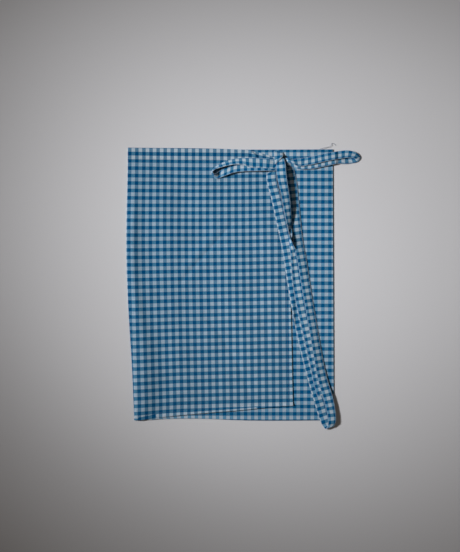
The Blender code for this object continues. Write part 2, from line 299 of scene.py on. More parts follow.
def cloth_below(x, y):
    """Top of whatever cloth lies under a strap: the over front, else the under front, else the table."""
    on_under = beyond(x - edge(RIGHT_FOLD, y)) * beyond(edge(HEM, x) - y) * beyond(y - edge(TOP_LINE, x))
    on_over = beyond(x - edge(FRONT_EDGE, y)) * beyond(edge(OVER_HEM, x) - y) * beyond(y - edge(OVER_TOP, x))
    under_top = (UNDER_MIDDLE + WALL / 2) * on_under
    return under_top + (over_height(x, y) + WALL / 2 - under_top) * on_over


spots = np.array([[-0.15, -0.204, 0.0, 0.10], [0.10, 0.10, -0.10, 0.0]])
print("Height of the over front, mm:", np.round(1000 * over_height(*spots), 2))

# %% [markdown]
# ## Where the check falls
# Gingham is woven from bands of white and blue yarn, 8 mm each, in both directions. On the real skirt
# the check runs with the grain of each panel, leans a little with it, and dives with the waistband's
# corner. So each sheet gets a UV map that counts repeats of the check: whole numbers are the middles
# of white bands and halves are the middles of blue ones.

# %% Counts of the check over each panel
FIRST_COLUMN = 20
COLUMNS_BETWEEN = 17
COLUMN_SHIFT = 0.10
OVER_COLUMNS = (
    # y, x of the first column, x of the one that is 17 columns on
    (-0.2575, -0.1943, 0.0719),
    (-0.0577, -0.1991, 0.0695),
    (0.0755, -0.2016, 0.0682),
    (0.2750, -0.2002, 0.0666),
)
OVER_ROW_PITCH = ((-0.211, 0.01649), (-0.111, 0.01623), (-0.011, 0.016115), (0.078, 0.016087))
OVER_ROW_BOW = (
    # x, shift of the rows there
    (-0.230, -0.04),
    (-0.150, -0.08),
    (-0.060, -0.12),
    (0.030, -0.08),
    (0.095, 0.01),
    (0.140, 0.05),
)
UNDER_ROWS = (
    # y, count of rows from the top
    (-0.3020, 57.38),
    (-0.2575, 54.61),
    (-0.2130, 51.84),
    (-0.1680, 49.00),
    (-0.1000, 44.73),
    (0.0500, 35.55),
    (0.2990, 20.38),
)
CHECK_ACROSS = 0.01558
CHECK_DOWN = 0.01641
COUNT_HEIGHT = 0.2087
ROW_AT_COUNT_HEIGHT = 26.46
UNDER_COLUMN = 46.10
UNDER_COLUMN_X = 0.2153
DIVE_REACH = 0.060
LAST_ROW = 57.0
LAST_ROW_SHIFT = 0.5
LAST_ROW_X = -0.158
LAST_ROW_STEP = 0.010
HEM_RIM = 0.0042
HEM_RIM_STEP = 0.0006
HEM_RIM_END = 0.070
HEM_RIM_FADE = 0.020


def over_counts(x, y):
    """Repeats across: first column + 17 times the part of the way to the other; down: y over the pitch.

    The hem's rim has one row of its own, because the cloth turns under there.
    """
    ys, first, last = zip(*OVER_COLUMNS)
    left = smooth_through(ys, first, y)
    right = smooth_through(ys, last, y)
    across = FIRST_COLUMN + COLUMNS_BETWEEN * (x - left) / (right - left)
    dive = (edge(TOP_LINE, x) - edge(OVER_TOP, x)) * (1 - ease((edge(OVER_TOP, x) - y) / DIVE_REACH))
    at, pitch = zip(*OVER_ROW_PITCH)
    down = ROW_AT_COUNT_HEIGHT + (COUNT_HEIGHT - y - dive) / np.interp(x, at, pitch) + edge(OVER_ROW_BOW, x)
    last_row = LAST_ROW - LAST_ROW_SHIFT * ease((LAST_ROW_X - x) / LAST_ROW_STEP)
    rim = ease((HEM_RIM - y + edge(OVER_HEM, x)) / HEM_RIM_STEP) * ease((HEM_RIM_END - x) / HEM_RIM_FADE)
    down += (last_row - down) * rim
    return np.stack([across - COLUMN_SHIFT, down], -1)


def under_counts(x, y):
    """Repeats across at a steady pitch from one white column; down from the rows of the table."""
    return np.stack([UNDER_COLUMN + (x - UNDER_COLUMN_X) / CHECK_ACROSS, edge(UNDER_ROWS, y)], -1)


ends = np.array([edge(LEFT_FOLD, 0.0), edge(FRONT_EDGE, 0.0)])
print("Repeats across the over front:", np.round(np.ptp(over_counts(ends, 0.0)[:, 0]), 2))

# %% [markdown]
# ## Cloth as a closed shell
# Cloth has a thickness, and its edge shows it. A single-sided sheet with Solidify would do, but hems,
# plies and straps change their thickness across the piece. So every sheet is a grid of middle points
# with both faces half a thickness away from it and a rim that closes them.


# %% Build a shell from a grid of middle points
def directions(points, axis):
    """Unit direction of a grid along one axis at every point, halfway between the runs on its two sides."""
    runs = np.diff(points, axis=axis)
    runs /= np.linalg.norm(runs, axis=2, keepdims=True)
    first = np.concatenate([runs.take([0], axis), runs], axis)
    last = np.concatenate([runs, runs.take([-1], axis)], axis)
    middle = first + last
    return middle / np.linalg.norm(middle, axis=2, keepdims=True)


def normals(middle):
    """Unit normal of a grid: the cross product of its directions across and down."""
    normal = np.cross(directions(middle, 1), directions(middle, 0))
    return normal / np.linalg.norm(normal, axis=2, keepdims=True)


def add_mesh(name, points, faces, material):
    """Smooth-shaded object at the origin from arrays of points and faces."""
    mesh = bpy.data.meshes.new(name)
    mesh.from_pydata(points.tolist(), [], faces.tolist())
    mesh.materials.append(material)
    mesh.shade_smooth()
    mesh.set_sharp_from_angle(angle=math.radians(60))
    thing = bpy.data.objects.new(name, mesh)
    bpy.context.collection.objects.link(thing)
    return thing


def shell(name, middle, thickness, counts, plies, material, painted_edge_highlight=0.0):
    """Closed cloth: points = middle +- normal * thickness / 2, with its check counts, plies and painted edge
    highlight.
    """
    rows, columns = middle.shape[:2]
    offset = normals(middle) * (np.broadcast_to(thickness, (rows, columns)) / 2)[:, :, None]
    points = np.concatenate([(middle + offset).reshape(-1, 3), (middle - offset).reshape(-1, 3)])
    index = np.arange(rows * columns).reshape(rows, columns)
    quads = np.stack([index[:-1, :-1], index[:-1, 1:], index[1:, 1:], index[1:, :-1]], -1).reshape(-1, 4)
    border = np.concatenate([index[0, :-1], index[:-1, -1], index[-1, :0:-1], index[:0:-1, 0]])
    after = np.roll(border, -1)
    back = rows * columns
    rim = np.stack([after, border, border + back, after + back], -1)
    thing = add_mesh(name, points, np.concatenate([quads, quads[:, ::-1] + back, rim]), material)

    corner = np.empty(len(thing.data.loops), np.int32)
    thing.data.loops.foreach_get("vertex_index", corner)
    both = np.tile(counts.reshape(-1, 2), (2, 1))
    layer = thing.data.uv_layers.new(name="Check")
    layer.data.foreach_set("uv", both[corner].astype(np.float32).ravel())
    for label, values in (("plies", plies), ("painted_edge_highlight", painted_edge_highlight)):
        attribute = thing.data.attributes.new(label, "FLOAT", "POINT")
        per_point = np.tile(np.broadcast_to(values, (rows, columns)).ravel(), 2)
        attribute.data.foreach_set("value", per_point.astype(np.float32))
    print(name, "has", len(thing.data.polygons), "faces")
    return thing


def dress(piece, slot, *nodes):
    """Piece rides with the skirt and stands for the named solids, which it hides; the slot is not used."""
    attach(piece, "root")
    if nodes:
        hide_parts(*nodes)
    return piece


# %% [markdown]
# ## Woven check
# In the cloth each yarn goes over and under its neighbours. Where a white band crosses a blue one the
# two colours alternate yarn by yarn, which the eye mixes to a middle blue. One node group makes that
# from the counts: a mask of blue yarns across and one down, woven through each other, and the height
# of the yarns for the bump. An image would give the same, but a group stays sharp at any distance.


# %% Helpers for shader nodes
def plug(tree, socket, value):
    """Link another node's output to the socket, or set its plain value."""
    if isinstance(value, bpy.types.NodeSocket):
        tree.links.new(value, socket)
    else:
        socket.default_value = value


def maths(tree, operation, first, second=0.0, clamp=False):
    """Math node with its two inputs."""
    node = tree.nodes.new("ShaderNodeMath")
    node.operation = operation
    node.use_clamp = clamp
    plug(tree, node.inputs[0], first)
    plug(tree, node.inputs[1], second)
    return node.outputs[0]


def blend(tree, share, first, second, kind="MIX"):
    """Colour mix of two inputs by a share."""
    node = tree.nodes.new("ShaderNodeMix")
    node.data_type = "RGBA"
    node.blend_type = kind
    plug(tree, node.inputs[0], share)
    plug(tree, node.inputs[6], first)
    plug(tree, node.inputs[7], second)
    return node.outputs[2]


def new_group(name, inputs, outputs):
    """Node group with the named inputs and outputs, each a (name, socket type) pair."""
    group = bpy.data.node_groups.new(name, "ShaderNodeTree")
    for label, kind in inputs:
        group.interface.new_socket(label, in_out="INPUT", socket_type=kind)
    for label, kind in outputs:
        group.interface.new_socket(label, in_out="OUTPUT", socket_type=kind)
    return group, group.nodes.new("NodeGroupInput"), group.nodes.new("NodeGroupOutput")


def place_group(tree, group, values):
    """Node group in a material, with its inputs by name."""
    node = tree.nodes.new("ShaderNodeGroup")
    node.node_tree = group
    for label, value in values.items():
        plug(tree, node.inputs[label], value)
    return node


# %% Node group for gingham
YARNS_PER_REPEAT = 36
BAND_SOFTNESS = 0.02
VISIBLE_WEAVE = 0.15


def make_gingham():
    """Four colours mixed by two masks; mask = 1 where a count is over 1/4 away from a whole number.

    The weave adds the light or dark yarn that is on top: the column's yarn or the row's, in turn.
    """
    group, taken, given = new_group(
        "Gingham",
        [("Counts", "NodeSocketVector"), ("Light", "NodeSocketColor"), ("Blue column", "NodeSocketColor"),
         ("Blue row", "NodeSocketColor"), ("Dark", "NodeSocketColor")],
        [("Colour", "NodeSocketColor"), ("Blue", "NodeSocketFloat"), ("Weave", "NodeSocketFloat")],
    )
    split = group.nodes.new("ShaderNodeSeparateXYZ")
    group.links.new(taken.outputs["Counts"], split.inputs[0])
    masks = []
    yarns = []
    for count in (split.outputs[0], split.outputs[1]):
        from_white = maths(group, "PINGPONG", count, 0.5)
        past_edge = maths(group, "SUBTRACT", from_white, 0.25 - BAND_SOFTNESS / 2)
        masks.append(maths(group, "DIVIDE", past_edge, BAND_SOFTNESS, clamp=True))
        yarns.append(maths(group, "MULTIPLY", count, float(YARNS_PER_REPEAT)))
    warp_up = maths(group, "MODULO", maths(group, "FLOOR", yarns[0]), 2.0)
    weft_row = maths(group, "MODULO", maths(group, "FLOOR", yarns[1]), 2.0)
    over = maths(group, "COMPARE", maths(group, "ABSOLUTE", warp_up), maths(group, "ABSOLUTE", weft_row))
    over.node.inputs[2].default_value = 0.5
    under = maths(group, "SUBTRACT", 1.0, over)

    def on_top(column, row):
        """The column's value where its yarn is on top, else the row's."""
        from_column = maths(group, "MULTIPLY", column, over)
        return maths(group, "ADD", from_column, maths(group, "MULTIPLY", row, under))

    blue = maths(group, "MULTIPLY", maths(group, "ADD", masks[0], masks[1]), 0.5)
    woven = on_top(*masks)
    white_row = blend(group, masks[0], taken.outputs["Light"], taken.outputs["Blue column"])
    blue_row = blend(group, masks[0], taken.outputs["Blue row"], taken.outputs["Dark"])
    eyes_mix = blend(group, masks[1], white_row, blue_row)
    top_yarn = blend(group, woven, taken.outputs["Light"], taken.outputs["Dark"])
    colour = blend(group, VISIBLE_WEAVE, eyes_mix, top_yarn)
    height = on_top(*[maths(group, "PINGPONG", yarn, 0.5) for yarn in yarns])
    group.links.new(colour, given.inputs["Colour"])
    group.links.new(blue, given.inputs["Blue"])
    group.links.new(height, given.inputs["Weave"])
    return group


gingham = make_gingham()
print("Gingham group has", len(gingham.nodes), "nodes")


# %% Node group for soft wear of the dye
DYE_NOISES = (
    # scale, share
    (11.0, 0.6),
    (260.0, 0.8),
)


def make_dye():
    """Multiplies a colour by 1 plus two noises over the piece, one the size of a hand and one of a thread."""
    group, taken, given = new_group(
        "Dye", [("Place", "NodeSocketVector"), ("Colour", "NodeSocketColor"), ("Amount", "NodeSocketFloat")],
        [("Colour", "NodeSocketColor")],
    )
    total = None
    for scale, share in DYE_NOISES:
        noise = group.nodes.new("ShaderNodeTexNoise")
        noise.inputs["Scale"].default_value = scale
        noise.inputs["Detail"].default_value = 2.0
        group.links.new(taken.outputs["Place"], noise.inputs["Vector"])
        part = maths(group, "MULTIPLY", maths(group, "SUBTRACT", noise.outputs[0], 0.5), share)
        total = part if total is None else maths(group, "ADD", total, part)
    factor = maths(group, "ADD", maths(group, "MULTIPLY", total, taken.outputs["Amount"]), 1.0)
    grey = group.nodes.new("ShaderNodeCombineColor")
    for socket in grey.inputs:
        group.links.new(factor, socket)
    group.links.new(blend(group, 1.0, taken.outputs["Colour"], grey.outputs[0], "MULTIPLY"), given.inputs[0])
    return group


dye = make_dye()

# %% [markdown]
# ## Finishes
# The plies attribute says how doubled a place is, and a second one paints a highlight along the
# straps' edges. Cotton scatters light, so it is rough, with a trace of sheen from loose fibres.

# %% Materials of the cloth and thread
WHITE_SINGLE = (0.345, 0.440, 0.545, 1.0)
WHITE_DOUBLE = (0.400, 0.485, 0.570, 1.0)
BLUE_COLUMN = (0.072, 0.188, 0.300, 1.0)
LIGHT_BLUE_COLUMN = (0.096, 0.266, 0.420, 1.0)
BLUE_ROW = (0.034, 0.172, 0.300, 1.0)
DARK_BLUE = (0.0002, 0.060, 0.166, 1.0)
LIGHTER_DARK_BLUE = (0.0004, 0.078, 0.208, 1.0)
SHOW_THROUGH = 0.16
# Share of white painted onto the straps' edges as a highlight
PAINTED_HIGHLIGHT_SHARE = 0.80
COTTON_ROUGHNESS = 0.88
COTTON_SHEEN = 0.01
COTTON_SPECULAR = 0.03
COTTON_DYE = 0.30
WEAVE_BUMP = 0.25
WEAVE_DEPTH = 0.0002
BENEATH_COLUMN = 46.15
BENEATH_ROW = 25.98


def new_material(name, roughness):
    """Material of a given roughness, and its shader."""
    material = bpy.data.materials.new(name)
    material.use_nodes = True
    shader = material.node_tree.nodes["Principled BSDF"]
    shader.inputs["Roughness"].default_value = roughness
    return material, shader


def point_value(tree, label):
    """Value of a piece's own attribute."""
    node = tree.nodes.new("ShaderNodeAttribute")
    node.attribute_name = label
    return node.outputs["Fac"]


def cotton(name, column, dark, lies_over_check=False):
    """Gingham cotton that reads its own check counts, plies and painted edge highlight."""
    material, shader = new_material(name, COTTON_ROUGHNESS)
    tree = material.node_tree
    shader.inputs["Sheen Weight"].default_value = COTTON_SHEEN
    shader.inputs["Specular IOR Level"].default_value = COTTON_SPECULAR

    counts = tree.nodes.new("ShaderNodeUVMap")
    counts.uv_map = "Check"
    plies = point_value(tree, "plies")
    place = tree.nodes.new("ShaderNodeTexCoord").outputs["Object"]
    white = blend(tree, plies, WHITE_SINGLE, WHITE_DOUBLE)
    cloth = place_group(tree, gingham, {
        "Counts": counts.outputs[0], "Light": white, "Blue column": column, "Blue row": BLUE_ROW,
        "Dark": dark,
    })
    # Painted highlight: where the attribute is set, the colour is blended towards white as if the edge caught
    # the light
    highlighted = maths(tree, "MULTIPLY", point_value(tree, "painted_edge_highlight"), PAINTED_HIGHLIGHT_SHARE)
    colour = blend(tree, highlighted, cloth.outputs["Colour"], WHITE_DOUBLE)
    if lies_over_check:
        mapping = tree.nodes.new("ShaderNodeMapping")
        mapping.inputs["Scale"].default_value = (1 / CHECK_ACROSS, -1 / CHECK_DOWN, 1.0)
        mapping.inputs["Location"].default_value = (
            BENEATH_COLUMN - UNDER_COLUMN_X / CHECK_ACROSS, BENEATH_ROW + COUNT_HEIGHT / CHECK_DOWN, 0.0,
        )
        tree.links.new(place, mapping.inputs["Vector"])
        beneath = place_group(tree, gingham, {"Counts": mapping.outputs[0]})
        single = maths(tree, "SUBTRACT", 1.0, plies, clamp=True)
        seen = maths(tree, "MULTIPLY", beneath.outputs["Blue"], single)
        colour = blend(tree, maths(tree, "MULTIPLY", seen, SHOW_THROUGH), colour, BLUE_ROW)
    dyed = place_group(tree, dye, {"Place": place, "Colour": colour, "Amount": COTTON_DYE})
    tree.links.new(dyed.outputs[0], shader.inputs["Base Color"])

    bump = tree.nodes.new("ShaderNodeBump")
    bump.inputs["Strength"].default_value = WEAVE_BUMP
    bump.inputs["Distance"].default_value = WEAVE_DEPTH
    tree.links.new(cloth.outputs["Weave"], bump.inputs["Height"])
    tree.links.new(bump.outputs[0], shader.inputs["Normal"])
    return material


front_cotton = cotton("front cotton", BLUE_COLUMN, DARK_BLUE, lies_over_check=True)
plain_cotton = cotton("cotton", LIGHT_BLUE_COLUMN, LIGHTER_DARK_BLUE)


# %% Material of the sewing thread
THREAD_COLOUR = (0.10, 0.15, 0.22, 1.0)
THREAD_ROUGHNESS = 0.7
THREAD_DYE = 0.5


def thread_finish():
    """Matte blue-grey thread, uneven in its dye."""
    material, shader = new_material("sewing thread", THREAD_ROUGHNESS)
    tree = material.node_tree
    place = tree.nodes.new("ShaderNodeTexCoord").outputs["Object"]
    dyed = place_group(tree, dye, {"Place": place, "Colour": THREAD_COLOUR, "Amount": THREAD_DYE})
    tree.links.new(dyed.outputs[0], shader.inputs["Base Color"])
    return material


thread = thread_finish()

# %% [markdown]
# ## Panels
# Each front is one piece of cloth that runs from its free edge to its side fold, turns under there and
# comes back to the side seam. Along the hems and the free edge the cloth is turned twice, so it is
# thicker there and whiter.

# %% Sizes of the cloth
SINGLE = 0.0006
HEMMED = 0.0010
BAND_THICKNESS = 0.0012
HEM_WIDTH = 0.011
HEM_STEP = 0.002
HEM_PLIES = 0.8
BACK_HEM_EXTRA = 0.0003
TUCK = 0.003
FOLD_STEPS = 8
TURNED_COLUMNS = 6


def hemmed(distance):
    """1 where the hem is turned, 0 beyond it, with a soft step between."""
    return ease((HEM_WIDTH + HEM_STEP / 2 - distance) / HEM_STEP)


def line(rows, lower_by=0.0):
    """Height of a top or hem outline as a function of x, lowered by a fixed amount."""
    return lambda x: edge(rows, x) - lower_by


# side of the fold (-1 left, 1 right), its outline, the free edge, height and counts of each front
OVER = (-1, LEFT_FOLD, FRONT_EDGE, over_height, over_counts)
UNDER = (1, RIGHT_FOLD, HIDDEN_EDGE, under_height, under_counts)


def turned_grid(side, fold, free_edge, height, counts, top, bottom, columns, rows):
    """Middle points of a front: x from the free edge to the fold, half an ellipse round it, then back.

    Returns the points, the check's counts, which follow the unfolded length past the turn, and that
    length in each column.
    """
    radius = (UNDER_MIDDLE - BACK_MIDDLE) / 2
    reach = radius + WALL / 2
    upper = np.linspace(1.0, 0.0, columns)
    arc = np.radians(np.linspace(90, -90, FOLD_STEPS + 1)[1:-1])
    lower = np.linspace(0.0, 1.0, TURNED_COLUMNS)
    down = np.linspace(0.0, 1.0, rows)[:, None]
    fold_x = fold[-1][1]
    low = columns + len(arc)
    guide = np.full(low + len(lower), fold_x)
    guide[:columns] += (edge(free_edge, 0.0) - fold_x) * upper
    y = top(guide) + (bottom(guide) - top(guide)) * down
    turn_x = edge(fold, y) - side * reach
    x = turn_x.copy()
    x[:, :columns] += (edge(free_edge, y[:, :columns]) - turn_x[:, :columns]) * upper
    x[:, columns:low] += side * radius * np.cos(arc)
    x[:, low:] -= side * (SEAM_FROM_FOLD - reach) * lower
    z = np.full_like(x, BACK_MIDDLE)
    z[:, :columns] = height(x[:, :columns], y[:, :columns])
    start = z[:, columns - 1:columns]
    z[:, columns:low] = (start + BACK_MIDDLE) / 2 + (start - BACK_MIDDLE) / 2 * np.sin(arc)
    behind = radius * math.pi + (SEAM_FROM_FOLD - reach) * lower
    past = np.concatenate([np.zeros(columns), radius * (math.pi / 2 - arc), behind])
    found = counts(x, y)
    last = found[:, columns - 1:columns, 0]
    found[:, columns:, 0] = last + side * past[columns:] / CHECK_ACROSS
    return np.stack([x, y, z], -1), found, past


# %% Over front
OVER_GRID = (152, 212)


def over_front():
    """Grid of the over front, thicker where its hem and its free edge are turned."""
    top = line(OVER_TOP, BAND_DEPTH - TUCK)
    points, counts, past = turned_grid(*OVER, top, line(OVER_HEM), *OVER_GRID)
    x, y = points[:, :, 0], points[:, :, 1]
    turned = np.maximum(hemmed(y - edge(OVER_HEM, x)), hemmed(edge(FRONT_EDGE, y) - x) * (past == 0))
    thickness = SINGLE + (HEMMED - SINGLE) * turned
    return shell("over_front_cloth", points, thickness, counts, turned * HEM_PLIES, front_cotton)


over_cloth = dress(over_front(), "cloth", "over_front")

# %% Turning of the front's hem
HEM_TURN = (
    (-0.1900, -0.3010),
    (-0.1763, -0.3010),
    (-0.1420, -0.2965),
    (-0.0999, -0.2915),
    (-0.0577, -0.2880),
    (-0.0233, -0.2835),
)
TURN_WIDTH = 0.012
TURN_ENDS = (-0.1900, -0.0150)
TURN_ABOVE_UNDER = 0.00105
TURN_WHITE_ROW = 0.0015
TURN_THICKNESS = 0.0005
TURN_PLIES = 0.9
TURN_GRID = (100, 8)


def hem_turn():
    """Narrow strip that peeks out below the over front's hem: y = its lower edge + a part of its width."""
    columns, rows = TURN_GRID
    x, up = np.meshgrid(np.linspace(*TURN_ENDS, columns), np.linspace(TURN_WIDTH, 0.0, rows))
    y = edge(HEM_TURN, x) + up
    counts = np.stack([over_counts(x, y)[:, :, 0], (TURN_WHITE_ROW - up) / CHECK_DOWN], -1)
    points = np.stack([x, y, np.full_like(x, UNDER_MIDDLE + TURN_ABOVE_UNDER)], -1)
    return shell("front_hem_turn", points, TURN_THICKNESS, counts, TURN_PLIES, plain_cotton)


hem_strip = dress(hem_turn(), "cloth")


# %% Under front
UNDER_GRID = (120, 130)


def under_front():
    """Grid of the under front, thicker where its hem is turned."""
    points, counts = turned_grid(*UNDER, line(TOP_LINE, BAND_DEPTH - TUCK), line(HEM), *UNDER_GRID)[:2]
    turned = hemmed(points[:, :, 1] - edge(HEM, points[:, :, 0]))
    thickness = SINGLE + (HEMMED - SINGLE) * turned
    return shell("under_front_cloth", points, thickness, counts, turned * HEM_PLIES, plain_cotton)


under_cloth = dress(under_front(), "cloth", "under_front")


# %% Back panel
BACK_GRID = (60, 90)


def flat_grid(top, bottom, columns, rows):
    """Middle points of the back, level on the table between the two side seams, and its check's counts."""
    across = np.linspace(0.0, 1.0, columns)
    down = np.linspace(0.0, 1.0, rows)[:, None]
    inset = SEAM_FROM_FOLD + SEAM_GAP
    guide = LEFT_FOLD[-1][1] + inset + (RIGHT_FOLD[-1][1] - LEFT_FOLD[-1][1] - 2 * inset) * across
    y = top(guide) + (bottom(guide) - top(guide)) * down
    left = edge(LEFT_FOLD, y) + inset
    right = edge(RIGHT_FOLD, y) - inset
    x = left + (right - left) * across
    counts = np.stack([x / CHECK_ACROSS, -y / CHECK_DOWN], -1)
    return np.stack([x, y, np.full_like(x, BACK_MIDDLE)], -1), counts


def back_panel():
    """Grid of the back, thicker along its hem."""
    points, counts = flat_grid(line(TOP_LINE, BAND_DEPTH - TUCK), line(HEM), *BACK_GRID)
    turned = hemmed(points[:, :, 1] - edge(HEM, points[:, :, 0]))
    thickness = SINGLE + BACK_HEM_EXTRA * turned
    return shell("back_cloth", points, thickness, counts, turned * HEM_PLIES, plain_cotton)


back_cloth = dress(back_panel(), "cloth", "back_panel")

# %% [markdown]
# ## Waistband
# The band is one strip, folded over the top edge of the panels and stitched through all the plies. It
# is made like the fronts, 27 mm deep and twice as thick, and the panels' tops end inside it.


# %% Three stretches of the waistband
BAND_SHIFT = (0.0, 0.06)
OVER_BAND_GRID = (290, 22)
UNDER_BAND_GRID = (120, 13)
BACK_BAND_GRID = (60, 13)


def front_band(name, front, rows, grid, material):
    """Band of a front, from the same grid as its panel, with its check a little higher."""
    points, counts = turned_grid(*front, line(rows), line(rows, BAND_DEPTH), *grid)[:2]
    return shell(name, points, BAND_THICKNESS, counts - BAND_SHIFT, 1.0, material)


over_band = front_band("waistband_over_cloth", OVER, OVER_TOP, OVER_BAND_GRID, front_cotton)
under_band = front_band("waistband_under_cloth", UNDER, TOP_LINE, UNDER_BAND_GRID, plain_cotton)
points, counts = flat_grid(line(TOP_LINE), line(TOP_LINE, BAND_DEPTH), *BACK_BAND_GRID)
back_band = shell("waistband_back_cloth", points, WALL, counts, 1.0, plain_cotton)
dress(over_band, "waistband", "waistband_over")
dress(under_band, "waistband", "waistband_under")
dress(back_band, "waistband", "waistband_back")

# %% [markdown]
# ## Ties
# Each tie is a flat strap, folded from a strip and stitched along its open edge. In the bow it lies
# flat, leans, stands on edge at the loops' ends or turns right over. So each row of a table says
# where the strap's middle is, how high its lower edge lies above the cloth, which way its width
# points in plan, and how far that width leans up. A curve with a bevel would twist on its own, while
# the table keeps every section where the real one is.

# %% Tables of the straps
LEFT_LOOP = (
    # x, y, lift, turn, lean, share of the full width
    (0.1090, 0.2650, 0.0047, -120, 0, 0.74),
    (0.0980, 0.2648, 0.0047, -100, 0, 0.94),
    (0.0840, 0.2657, 0.0060, -93, 0, 1.00),
    (0.0660, 0.2673, 0.0054, -90, 0, 1.00),
    (0.0444, 0.2686, 0.0038, -88, 6, 0.98),
    (0.0244, 0.2712, 0.0018, -86, 18, 0.74),
    (0.0089, 0.2704, 0.0012, -84, 26, 0.67),
    (-0.0044, 0.2675, 0.0008, -78, 32, 0.62),
    (-0.0178, 0.2631, 0.0004, -66, 40, 0.58),
    (-0.0278, 0.2586, 0.0000, -52, 50, 0.52),
    (-0.0360, 0.2535, 0.0000, -28, 64, 0.46),
    (-0.0398, 0.2475, 0.0000, 0, 74, 0.43),
    (-0.0370, 0.2415, 0.0000, 40, 64, 0.48),
    (-0.0289, 0.2404, 0.0006, 74, 14, 0.66),
    (-0.0178, 0.2462, 0.0006, 86, -6, 0.87),
    (-0.0044, 0.2518, 0.0004, 82, -12, 0.98),
    (0.0089, 0.2570, 0.0002, 86, -14, 1.00),
    (0.0244, 0.2592, 0.0000, 90, -14, 1.00),
    (0.0444, 0.2600, 0.0000, 90, -16, 1.00),
    (0.0680, 0.2600, 0.0002, 90, -21, 1.00),
    (0.0880, 0.2604, 0.0010, 90, -16, 0.96),
    (0.1090, 0.2610, 0.0018, 90, 0, 0.90),
)
RIGHT_LOOP = (
    (0.1240, 0.2745, 0.0006, -80, 0, 0.44),
    (0.1310, 0.2735, 0.0040, -72, 6, 0.50),
    (0.1380, 0.2702, 0.0050, -62, 12, 0.58),
    (0.1460, 0.2688, 0.0046, -74, 8, 0.72),
    (0.1560, 0.2694, 0.0038, -88, 6, 0.82),
    (0.1700, 0.2714, 0.0034, -92, 8, 0.84),
    (0.1850, 0.2742, 0.0034, -88, 8, 0.84),
    (0.2109, 0.2802, 0.0034, -86, 8, 0.82),
    (0.2309, 0.2840, 0.0034, -88, 8, 0.82),
    (0.2442, 0.2862, 0.0034, -90, 8, 0.82),
    (0.2590, 0.2880, 0.0034, -96, 8, 0.78),
    (0.2720, 0.2866, 0.0028, -112, 10, 0.70),
    (0.2800, 0.2832, 0.0018, -136, 14, 0.64),
    (0.2832, 0.2794, 0.0010, -172, 16, 0.62),
    (0.2790, 0.2768, 0.0004, -222, 10, 0.66),
    (0.2680, 0.2762, 0.0000, -254, 2, 0.80),
    (0.2560, 0.2768, 0.0000, -268, -4, 0.95),
    (0.2442, 0.2778, 0.0000, -270, -6, 1.00),
    (0.2109, 0.2717, 0.0000, -270, -8, 1.00),
    (0.1776, 0.2655, 0.0000, -270, -8, 1.00),
    (0.1520, 0.2645, 0.0004, -270, -6, 0.90),
    (0.1360, 0.2665, 0.0008, -270, 0, 0.60),
    (0.1240, 0.2690, 0.0010, -270, 0, 0.45),
)
KNOT_WRAP = (
    (0.1075, 0.2940, 0.0004, -8, 0, 0.90),
    (0.1075, 0.2900, 0.0016, -4, 0, 0.92),
    (0.1076, 0.2845, 0.0042, 4, 0, 0.90),
    (0.1070, 0.2785, 0.0070, 18, 0, 0.86),
    (0.1062, 0.2730, 0.0076, 34, 0, 0.82),
    (0.1054, 0.2700, 0.0070, 42, 0, 0.76),
)
OUTER_TAIL = (
    (0.0985, 0.2550, 0.0000, 16, 0, 0.91),
    (0.0920, 0.2430, 0.0000, 6, 0, 1.00),
    (0.0930, 0.2270, 0.0000, 6, 0, 1.00),
    (0.1021, 0.1909, 0.0000, 11, 0, 1.00),
    (0.1122, 0.1443, 0.0000, 13, 0, 1.00),
    (0.1270, 0.0733, 0.0000, 10, 0, 1.00),
    (0.1372, 0.0067, 0.0000, 9, 0, 1.00),
    (0.1496, -0.0644, 0.0000, 10, 0, 1.00),
    (0.1648, -0.1376, 0.0000, 13, 0, 1.00),
    (0.1834, -0.2109, 0.0000, 15, 0, 1.00),
    (0.1976, -0.2597, 0.0000, 17, 0, 1.00),
    (0.2090, -0.2960, 0.0004, 20, 0, 1.00),
    (0.2165, -0.3135, 0.0030, 20, 0, 0.91),
    (0.2205, -0.3180, 0.0048, 20, 0, 0.82),
    (0.2240, -0.3125, 0.0058, 15, 0, 0.77),
    (0.2255, -0.2960, 0.0056, 5, 0, 0.82),
    (0.2225, -0.2760, 0.0046, 10, 0, 0.91),
    (0.2169, -0.2509, 0.0034, 14, 0, 0.95),
    (0.2069, -0.2176, 0.0020, 14, -6, 0.95),
    (0.1974, -0.1732, 0.0006, 11, -11, 0.91),
    (0.1896, -0.1288, 0.0002, 9, -11, 0.88),
    (0.1822, -0.0844, 0.0000, 9, -10, 0.88),
    (0.1742, -0.0400, 0.0000, 9, -9, 0.88),
    (0.1672, 0.0044, 0.0000, 9, -9, 0.92),
    (0.1600, 0.0488, 0.0000, 10, -10, 0.95),
    (0.1510, 0.0955, 0.0000, 10, -10, 1.00),
    (0.1454, 0.1421, 0.0000, 6, -4, 1.00),
    (0.1412, 0.1865, 0.0000, 6, 0, 1.00),
    (0.1359, 0.2309, 0.0000, 7, 0, 1.00),
    (0.1310, 0.2550, 0.0000, 11, 0, 0.91),
)
